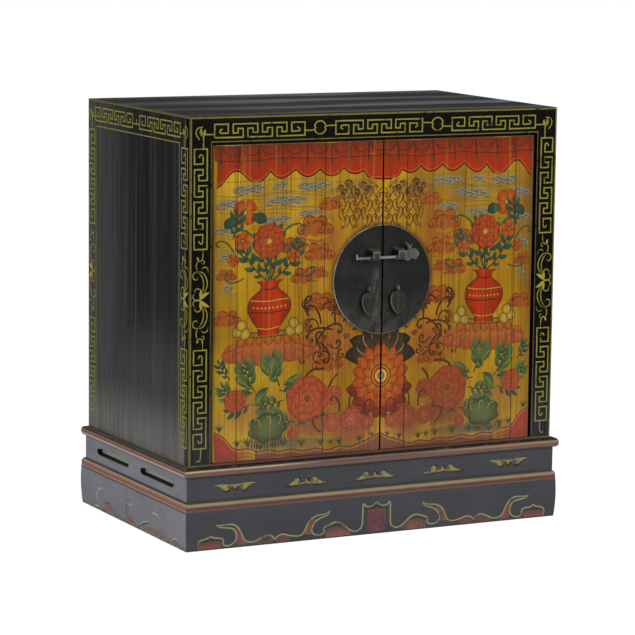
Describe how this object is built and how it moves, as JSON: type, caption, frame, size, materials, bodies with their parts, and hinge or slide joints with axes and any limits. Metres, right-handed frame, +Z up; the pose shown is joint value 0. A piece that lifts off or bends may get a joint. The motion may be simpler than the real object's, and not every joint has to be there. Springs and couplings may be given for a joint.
{
  "type": "cabinet on stand",
  "caption": "Two-door lacquered cabinet with lift-off pivot doors and a round sliding-pin lock, on a low moulded stand.",
  "frame": {"origin": "on the floor under the middle of the case, half way between the case's sides and half way between its front and back", "axes": "+X to the right along the front, +Y to the back, +Z up; the doors face -Y"},
  "size_m": [0.892, 0.5715, 0.891],
  "materials": {
    "black_lacquer": "black lacquer with painted olive line borders, worn satin",
    "painted_doors": "ochre painted lacquer with polychrome decoration, satin",
    "stand_lacquer": "dark lacquer with red-brown and gold worn edges, satin",
    "bare_wood": "oiled bare softwood",
    "iron": "dark patinated sheet and bar, pale where rubbed",
    "bronze": "dark brown patina"
  },
  "bodies": {
    "cabinet": {"case_side_left": "black_lacquer", "case_side_right": "black_lacquer", "case_top": "black_lacquer", "stile_left": "black_lacquer", "stile_right": "black_lacquer", "top_rail": "black_lacquer", "case_floor": "bare_wood", "case_back_left": "bare_wood", "case_back_middle": "bare_wood", "case_back_right": "bare_wood", "door_stop_strip": "bare_wood", "shelf": "bare_wood", "shelf_cleat_left": "bare_wood", "shelf_cleat_right": "bare_wood", "stand_top_bearer": "bare_wood", "stand_post_front_left": "bare_wood", "stand_post_front_right": "bare_wood", "stand_post_back_left": "bare_wood", "stand_post_back_right": "bare_wood", "stand_top_front": "stand_lacquer", "waist_front": "stand_lacquer", "plinth_front": "stand_lacquer", "stand_top_right": "stand_lacquer", "waist_right": "stand_lacquer", "plinth_right": "stand_lacquer", "stand_top_back": "stand_lacquer", "waist_back": "stand_lacquer", "plinth_back": "stand_lacquer", "stand_top_left": "stand_lacquer", "waist_left": "stand_lacquer", "plinth_left": "stand_lacquer"},
    "door_left": {"door_left_hinge_board": "painted_doors", "door_left_middle_board": "painted_doors", "door_left_meeting_board": "painted_doors", "door_left_batten_upper": "bare_wood", "door_left_batten_lower": "bare_wood", "door_left_pivot_upper": "iron", "door_left_pivot_lower": "iron", "lock_plate_left": "iron", "lock_loop_left": "iron", "pull_eye_left": "iron"},
    "door_right": {"door_right_hinge_board": "painted_doors", "door_right_middle_board": "painted_doors", "door_right_meeting_board": "painted_doors", "door_right_batten_upper": "bare_wood", "door_right_batten_lower": "bare_wood", "door_right_pivot_upper": "iron", "door_right_pivot_lower": "iron", "lock_plate_right": "iron", "lock_loop_right": "iron", "pull_eye_right": "iron"},
    "pull_left": {"pull_left": "bronze"},
    "pull_right": {"pull_right": "bronze"},
    "lock_pin": {"lock_pin": "iron"}
  },
  "joints": [
    {"name": "door_left_swing", "type": "hinge", "parent": "cabinet", "child": "door_left", "pos_m": [-0.368, -0.254, 0.507], "axis": [0, 0, -1], "range_deg": [0, 100]},
    {"name": "door_right_swing", "type": "hinge", "parent": "cabinet", "child": "door_right", "pos_m": [0.368, -0.254, 0.507], "axis": [0, 0, 1], "range_deg": [0, 100]},
    {"name": "pull_left_swing", "type": "hinge", "parent": "door_left", "child": "pull_left", "pos_m": [-0.023, -0.2735, 0.522], "axis": [-1, 0, 0], "range_deg": [0, 75]},
    {"name": "pull_right_swing", "type": "hinge", "parent": "door_right", "child": "pull_right", "pos_m": [0.045, -0.2735, 0.522], "axis": [-1, 0, 0], "range_deg": [0, 75]},
    {"name": "lock_pin_slide", "type": "slide", "parent": "door_right", "child": "lock_pin", "axis": [1, 0, 0], "range_m": [0, 0.075]}
  ]
}
